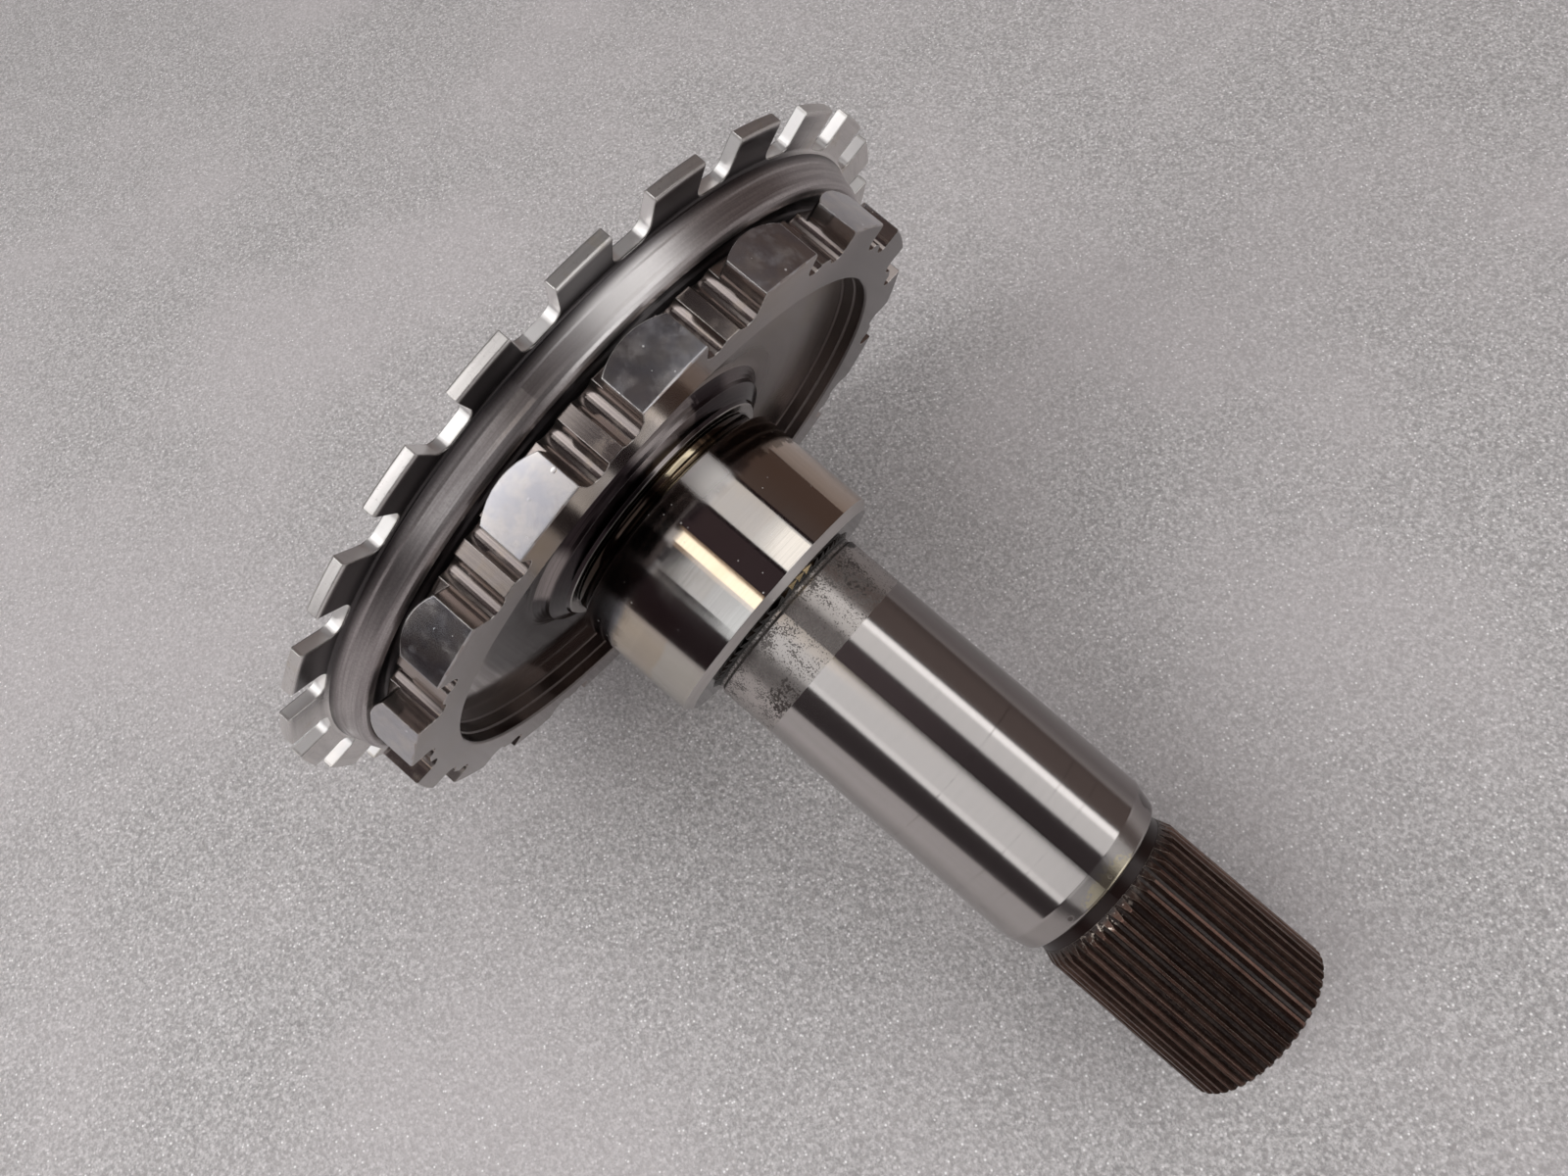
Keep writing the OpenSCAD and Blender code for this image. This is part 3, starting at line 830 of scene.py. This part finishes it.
# Slack round the sizes that part the zones
HAIR = 0.05 * MM
THIN = 0.2 * MM
FINE = 0.35 * MM
WIDE = 0.5 * MM
BEVEL = 1.9 * MM                    # of the journal, towards the shaft
CENTRE_SHARE = 0.35                 # of the spline's radius, round the lathe centre
NECK_SHARE = 0.56                   # of the dish's radius, round the neck
END_ON = 0.9                        # least share of Z in the normal of a flat face
UPRIGHT = 0.3                       # most share of Z in the normal of a tooth's tip


def zone_of(radius, height, normal):
    """Which finish a face of the shaft gets, from its middle and its normal."""
    s = sizes()
    if height > s.shaft_end - HAIR:
        centre = radius < s.spline_radius * CENTRE_SHARE
        return "end" if centre or height > END_HEIGHT - 2 * HAIR else "spline"
    if height > JOURNAL_HIGH + BEVEL:
        return "seat"
    if height > JOURNAL_LOW - FINE and radius > seat_radius("shaft_seat") * 1.3:
        return "journal"
    if radius < seat_radius("pilot_bore") * 1.1 or (
            height < s.recess_floor and radius < s.recess_radius):
        return "back"
    if radius < s.dish_radius * NECK_SHARE and height > s.dish_floor - 3 * MM:
        return "neck"
    if height > s.gear_back and radius > s.dish_radius + WIDE:
        if normal.z > END_ON:
            return "dish"
        level = abs(normal.z) < UPRIGHT and radius > s.gear_radius - FINE
        return "tooth" if level or radius > s.gear_radius - THIN else "valley"
    if height > s.recess_floor + HAIR and radius < s.dish_radius + WIDE:
        return "dish"
    if height < s.lug_front + WIDE:
        return "back" if normal.z < -END_ON else "lug"
    return "lug" if radius > s.gap_bottom - THIN else "shoulder"


# What each zone is finished with: its material's name and the function that builds it
FINISHES = {
    "lug": ("lug steel", lug_steel),
    "shoulder": ("shoulder steel", shoulder_steel),
    "tooth": ("parking tooth steel", tooth_steel),
    "valley": ("tooth valley steel", valley_steel),
    "dish": ("dish steel", dish_steel),
    "neck": ("neck steel", neck_steel),
    "journal": ("journal steel", journal_steel),
    "seat": ("shaft steel", seat_steel),
    "spline": ("spline steel", spline_steel),
    "end": ("faced end steel", end_steel),
    "back": ("back steel", back_steel),
}


def lay_finish(*zones):
    """Makes the finishes of the zones and gives each one to the faces of its zone."""
    for zone in zones:
        name, build = FINISHES[zone]
        material = bpy.data.materials.new(name)
        tree = empty_tree(material)
        build(tree, use(tree, "Lathe Position"))
        SHAFT.data.materials[list(FINISHES).index(zone)] = material


class SHAFT_OT_zones(bpy.types.Operator):
    """Split the shaft's faces into the zones that each finish covers"""

    bl_idname = "shaft.zones"
    bl_label = "Mark the finish zones"

    def execute(self, context):
        make_groups()
        mesh = SHAFT.data
        mesh.materials.clear()
        for _ in FINISHES:
            mesh.materials.append(None)
        order = {name: i for i, name in enumerate(FINISHES)}
        for face in mesh.polygons:
            middle = face.center
            radius = math.hypot(middle.x, middle.y)
            face.material_index = order[zone_of(radius, middle.z, face.normal)]
        return {"FINISHED"}


class SHAFT_OT_disc(bpy.types.Operator):
    """Finish the lugs and the round shoulder of the web"""

    bl_idname = "shaft.disc"
    bl_label = "Finish the toothed disc"

    def execute(self, context):
        lay_finish("lug", "shoulder")
        return {"FINISHED"}


class SHAFT_OT_gear(bpy.types.Operator):
    """Finish the parking teeth and their valleys"""

    bl_idname = "shaft.gear"
    bl_label = "Finish the parking gear"

    def execute(self, context):
        lay_finish("tooth", "valley")
        return {"FINISHED"}


class SHAFT_OT_dish(bpy.types.Operator):
    """Finish the front of the gear, the dish, the neck and the collar"""

    bl_idname = "shaft.dish"
    bl_label = "Finish the dish and neck"

    def execute(self, context):
        lay_finish("dish", "neck")
        return {"FINISHED"}


class SHAFT_OT_seats(bpy.types.Operator):
    """Finish the ground journal and the ground shaft with its fretted band"""

    bl_idname = "shaft.seats"
    bl_label = "Finish the ground seats"

    def execute(self, context):
        lay_finish("journal", "seat")
        return {"FINISHED"}


class SHAFT_OT_spline(bpy.types.Operator):
    """Finish the spline, its neck and its faced end"""

    bl_idname = "shaft.spline"
    bl_label = "Finish the splined end"

    def execute(self, context):
        lay_finish("spline", "end")
        return {"FINISHED"}


class SHAFT_OT_back(bpy.types.Operator):
    """Finish the recess, the hub and the pilot bore"""

    bl_idname = "shaft.back"
    bl_label = "Finish the back"

    def execute(self, context):
        lay_finish("back")
        return {"FINISHED"}


# Stage

SHEET_TURN = math.radians(-12)      # side of the shaft that faces up, round the Z axis
SHEET_SIZE = 3.2
SHEET_SHIFT = 0.1                   # from the disc towards the spline
LAMP_DISTANCE = 2.5
LAMP_AIM = Vector((0, 0, END_HEIGHT * 0.43))
CAMERA_PLACE = Vector((0.2605, 0.0, 0.07186))
CAMERA_AIM = Vector((0.0, -0.00418, 0.05078))
CAMERA_ROLL = math.radians(130.58)
CAMERA_LENS = 27.0
CAMERA_SENSOR = 36.0
CAMERA_CLIP = (0.01, 20.0)

WHITE = (1.0, 1.0, 1.0)

# Lamps: the window that each fills, as its azimuths and its elevations in degrees,
# then radiance, tint, distance and whether the steel mirrors it
LAMPS = (
    ("right panel", (8, 46), (-3, 20), 0.84),
    ("right edge strip", (38, 46), (-3, 20), 0.25),
    ("right window top", (13, 46), (-6.6, -3), 1.15, (0.93, 0.98, 1.0)),
    ("right window foot", (13, 38), (-10.0, -6.6), 0.88, (0.95, 0.98, 1.0)),
    ("lead panel", (9, 42), (34, 48), 0.56),
    ("low right panel", (6, 45), (-34, -19), 2.2),
    ("tooth panel", (6, 45), (-19, -14.5), 1.0, (0.97, 0.97, 1.0)),
    ("low valley panel", (45, 58), (-20, -14.5), 0.7),
    ("low side panel", (45, 80), (-34, -20), 1.6),
    ("low front panel", (-15, 6), (-34, -19), 1.5),
    ("warm strip", (6.5, 13), (-12, -3.5), 2.0, (1.0, 0.9, 0.72)),
    ("warm edge", (3.5, 16.5), (-12, -3.5), 0.32, (1.0, 0.7, 0.45)),
    ("left panel", (-58, -26), (-15, 25), 0.82),
    ("left edge strip", (-58, -49), (-4, 25), 0.75),
    ("left high panel", (-62, -27), (25, 34), 1.3),
    ("left lead panel", (-62, -36), (34, 48), 0.45),
    ("left top panel", (-62, -27), (48, 60), 1.3),
    ("shoulder panel", (-70, -12), (60, 82), 1.6),
    ("left window top", (-56, -27), (-7.5, -4.5), 0.9, (1.0, 0.95, 0.84)),
    ("face panel", (-23, 5), (-17, 6), 0.035, (1.0, 0.74, 0.78)),
    ("brown panel", (-108, -60), (-40, 50), 0.085, (1.0, 0.78, 0.68), 1.0),
    ("end panel", (-30, 30), (70, 90), 0.08),
    ("back panel", (-35, 35), (-90, -55), 0.6),
    ("left sheet light", (20, 60), (-40, -4), 2.0, WHITE, 0.9, False),
    ("right sheet light", (-62, -20), (-30, 14), 0.5, WHITE, LAMP_DISTANCE, False),
)


def direction(azimuth, elevation):
    a, e = math.radians(azimuth), math.radians(elevation)
    return Vector((math.cos(a) * math.cos(e), math.sin(a) * math.cos(e), math.sin(e)))


def sheet_plane():
    """A point on the sheet and its upward normal: it touches the disc and the spline."""
    up = Vector((math.cos(SHEET_TURN), math.sin(SHEET_TURN), 0))
    foot = -up * DISC_RADIUS
    tip = -up * sizes().spline_radius + Vector((0, 0, END_HEIGHT))
    along = (tip - foot).normalized()
    return foot, (up - along * up.dot(along)).normalized(), along


def sheet_material():
    """Pale foam sheet, seen from its upper side only."""
    material = bpy.data.materials.new("foam sheet")
    tree = empty_tree(material)
    place = scaled(tree, add(tree, "TexCoord").outputs["Object"], 1 / MM)
    broad = noise(tree, place, 0.012, detail=3.0)
    cells = add(tree, "TexVoronoi", {"Vector": place, "Scale": 1.1})
    fibre = noise(tree, place, 0.9, detail=4.0, rough=0.75)
    spot = add(tree, "SeparateColor", {0: cells.outputs["Color"]}).outputs[0]
    glint = times(tree, calc(tree, "GREATER_THAN", spot, 0.93),
                  fade(tree, cells.outputs["Distance"], 0.34, 0.12))
    base = colours().sheet
    shade = mix(tree, fade(tree, fibre, 0.32, 0.68), tuple(c * 0.60 for c in base),
                tuple(min(c * 1.30, 1) for c in base))
    bead = times(tree, fade(tree, spot, 0.45, 0.95),
                 fade(tree, cells.outputs["Distance"], 0.55, 0.15))
    shade = paint(tree, shade, bead, 0.75, (0.86, 0.83, 0.84))
    shade = blend(tree, shade, spot, 0.30, 0.0, 0.65, (0.34, 0.32, 0.32))
    shade = blend(tree, shade, broad, 0.35, 0.7, 0.5, (0.59, 0.55, 0.56))
    shade = paint(tree, shade, glint, 0.9, WHITE)
    height = plus(tree, cells.outputs["Distance"], fibre)
    bumped = add(tree, "Bump", {"Height": height, "Strength": 0.5, "Distance": 0.3 * MM})
    shader = add(tree, "BsdfPrincipled", {"Base Color": shade, "Roughness": 0.55,
                                          "Normal": bumped.outputs[0]})
    clear = add(tree, "BsdfTransparent")
    side = add(tree, "MixShader", {0: add(tree, "NewGeometry").outputs["Backfacing"],
                                   1: shader.outputs[0], 2: clear.outputs[0]})
    feed(tree, add(tree, "OutputMaterial").inputs["Surface"], side.outputs[0])
    return material


def lamp(name, azimuths, elevations, radiance, tint=WHITE, distance=LAMP_DISTANCE,
         mirrored=True):
    """A soft panel that fills a window of directions, in degrees, seen from the shaft."""
    light = bpy.data.lights.new(name, "AREA")
    light.shape = "RECTANGLE"
    elevation = sum(elevations) / 2
    level = math.cos(math.radians(elevation))
    spans = [math.radians(b - a) / 2 for a, b in (azimuths, elevations)]
    light.size = 2 * distance * math.tan(spans[0]) * level
    light.size_y = 2 * distance * math.tan(spans[1])
    light.energy = radiance * math.pi * light.size * light.size_y
    light.color = tint
    away = direction(sum(azimuths) / 2, elevation)
    holder = bpy.data.objects.new(name, light)
    holder.location = LAMP_AIM + away * distance
    holder.rotation_mode = "QUATERNION"
    holder.rotation_quaternion = (-away).to_track_quat("-Z", "Y")
    holder.visible_camera = False
    holder.visible_glossy = mirrored
    bpy.context.scene.collection.objects.link(holder)


class SHAFT_OT_stage(bpy.types.Operator):
    """Lay the sheet, set up the lamps and the world, and place the camera"""

    bl_idname = "shaft.stage"
    bl_label = "Set the stage"

    def execute(self, context):
        foot, normal, along = sheet_plane()
        bpy.ops.object.select_all(action="DESELECT")
        bpy.ops.mesh.primitive_plane_add(size=SHEET_SIZE)
        sheet = context.object
        sheet.name = "sheet"
        turn = Matrix((normal.cross(along), -along, normal)).transposed()
        sheet.data.transform(Matrix.Translation(foot + along * SHEET_SHIFT) @ turn.to_4x4())
        sheet.data.materials.append(sheet_material())
        for settings in LAMPS:
            lamp(*settings)
        self.make_world(context.scene)
        self.place_camera(context.scene)
        context.scene.view_settings.view_transform = "Standard"
        return {"FINISHED"}

    def make_world(self, scene):
        world = bpy.data.worlds.new("studio")
        tree = empty_tree(world)
        way = add(tree, "SeparateXYZ", {0: add(tree, "TexCoord").outputs["Generated"]})
        steep = fade(tree, size_of(tree, way.outputs[2]), 0.5, 0.9)
        room = mix(tree, steep, (0.020, 0.0125, 0.0145), (0.085, 0.078, 0.080))
        path = add(tree, "LightPath").outputs
        room = mix(tree, path["Is Diffuse Ray"], room, (0.30, 0.285, 0.285))
        seen = mix(tree, path["Is Camera Ray"], room, (0.62, 0.61, 0.61))
        shader = add(tree, "Background", {"Color": seen})
        feed(tree, add(tree, "OutputWorld").inputs["Surface"], shader.outputs[0])
        scene.world = world

    def place_camera(self, scene):
        data = bpy.data.cameras.new("camera")
        data.sensor_fit = "HORIZONTAL"
        data.sensor_width = CAMERA_SENSOR
        data.lens = CAMERA_LENS
        data.clip_start, data.clip_end = CAMERA_CLIP
        camera = bpy.data.objects.new("camera", data)
        camera.location = CAMERA_PLACE
        camera.rotation_mode = "QUATERNION"
        camera.rotation_quaternion = (
            (CAMERA_AIM - CAMERA_PLACE).to_track_quat("-Z", "Y")
            @ Quaternion((0, 0, 1), CAMERA_ROLL))
        scene.collection.objects.link(camera)
        scene.camera = camera


# Panel and run

STEPS = (SHAFT_OT_zones, SHAFT_OT_disc, SHAFT_OT_gear, SHAFT_OT_dish, SHAFT_OT_seats,
         SHAFT_OT_spline, SHAFT_OT_back, SHAFT_OT_stage)


class SHAFT_PT_panel(bpy.types.Panel):
    """Lists the steps that dress the shaft"""

    bl_idname = "SHAFT_PT_panel"
    bl_label = "Output Shaft"
    bl_space_type = "VIEW_3D"
    bl_region_type = "UI"
    bl_category = "Shaft"

    def draw(self, context):
        for step in STEPS:
            self.layout.operator(step.bl_idname)
        for group in (context.scene.shaft_sizes, context.scene.shaft_colours):
            box = self.layout.box()
            for key in group.__annotations__:
                box.prop(group, key)


CLASSES = (ShaftSizes, ShaftColours, *STEPS, SHAFT_PT_panel)


def register():
    for cls in CLASSES:
        bpy.utils.register_class(cls)
    bpy.types.Scene.shaft_sizes = PointerProperty(type=ShaftSizes)
    bpy.types.Scene.shaft_colours = PointerProperty(type=ShaftColours)


def unregister():
    del bpy.types.Scene.shaft_sizes
    del bpy.types.Scene.shaft_colours
    for cls in reversed(CLASSES):
        bpy.utils.unregister_class(cls)


def main():
    register()
    for step in STEPS:
        group, name = step.bl_idname.split(".")
        getattr(getattr(bpy.ops, group), name)()


if __name__ == "__main__":
    main()
